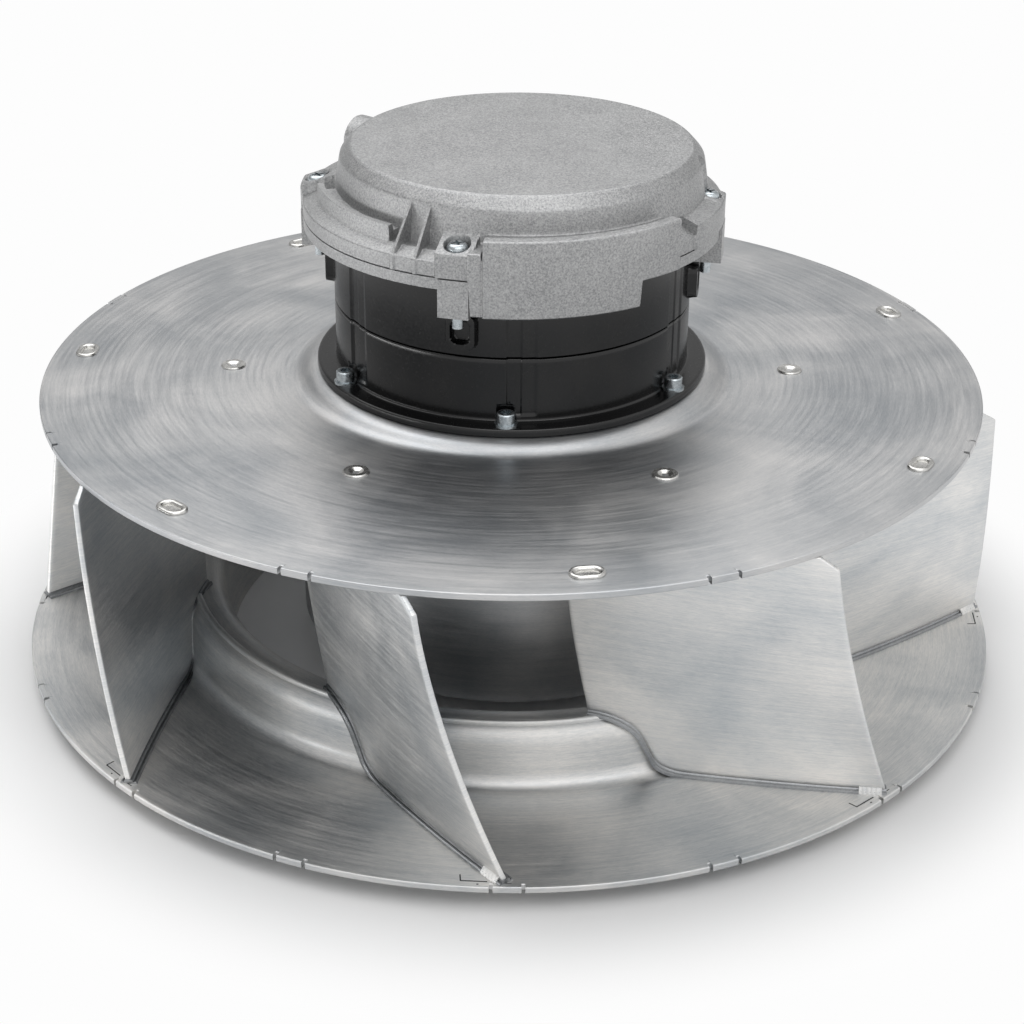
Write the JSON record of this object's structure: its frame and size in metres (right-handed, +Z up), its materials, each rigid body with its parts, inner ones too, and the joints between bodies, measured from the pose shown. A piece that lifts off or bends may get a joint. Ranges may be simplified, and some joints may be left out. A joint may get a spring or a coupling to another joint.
{
  "type": "plug fan",
  "caption": "Backward-curved centrifugal plug fan: sheet aluminium impeller on an external-rotor motor with a die-cast electronics cover.",
  "frame": {"origin": "on the fan's axis, in the plane of the inlet eye's lower edge, which the fan stands on", "axes": "+Z up along the fan's axis from the inlet towards the motor, -Y towards the front of the electronics cover"},
  "size_m": [0.481, 0.481, 0.256],
  "materials": {
    "mill_aluminium": "mill-finish sheet, lightly brushed",
    "cast_aluminium": "blasted die casting",
    "black_coating": "satin black",
    "zinc_steel": "bright zinc plated",
    "bright_steel": "polished",
    "bearing_steel": "ground",
    "core_steel": "varnished laminations",
    "copper_wire": "enamelled",
    "ferrite": "ground",
    "gasket_rubber": "matt",
    "board_laminate": "solder mask",
    "capacitor_sleeve": "shrink sleeve",
    "plug_plastic": "moulded"
  },
  "bodies": {
    "stator": {"electronics_cover": "cast_aluminium", "cover_gasket": "gasket_rubber", "cover_screws": "zinc_steel", "gland_plug": "plug_plastic", "control_board": "board_laminate", "board_screws": "zinc_steel", "dc_capacitors": "capacitor_sleeve", "line_choke": "ferrite", "terminal_block": "plug_plastic", "motor_flange": "cast_aluminium", "stator_ring": "black_coating", "bearing_tube": "bearing_steel", "stator_core": "core_steel", "stator_coils": "copper_wire", "upper_bearing": "bearing_steel", "lower_bearing": "bearing_steel", "preload_spring": "zinc_steel"},
    "impeller": {"retaining_ring": "zinc_steel", "shaft": "bearing_steel", "rotor_bell": "black_coating", "back_iron": "core_steel", "magnets": "ferrite", "back_plate": "mill_aluminium", "inlet_shroud": "mill_aluminium", "hub_shell": "mill_aluminium", "hub_ring": "mill_aluminium", "hub_rivets": "bright_steel", "balance_eyelets": "bright_steel", "flange_screws": "zinc_steel", "flange_nuts": "zinc_steel", "blade_1": "mill_aluminium", "blade_2": "mill_aluminium", "blade_3": "mill_aluminium", "blade_4": "mill_aluminium", "blade_5": "mill_aluminium", "blade_6": "mill_aluminium", "blade_7": "mill_aluminium", "blade_8": "mill_aluminium"}
  },
  "joints": [
    {"name": "impeller_spin", "type": "hinge", "parent": "stator", "child": "impeller", "pos_m": [0, 0, 0.195], "axis": [0, 0, 1], "continuous": true}
  ]
}
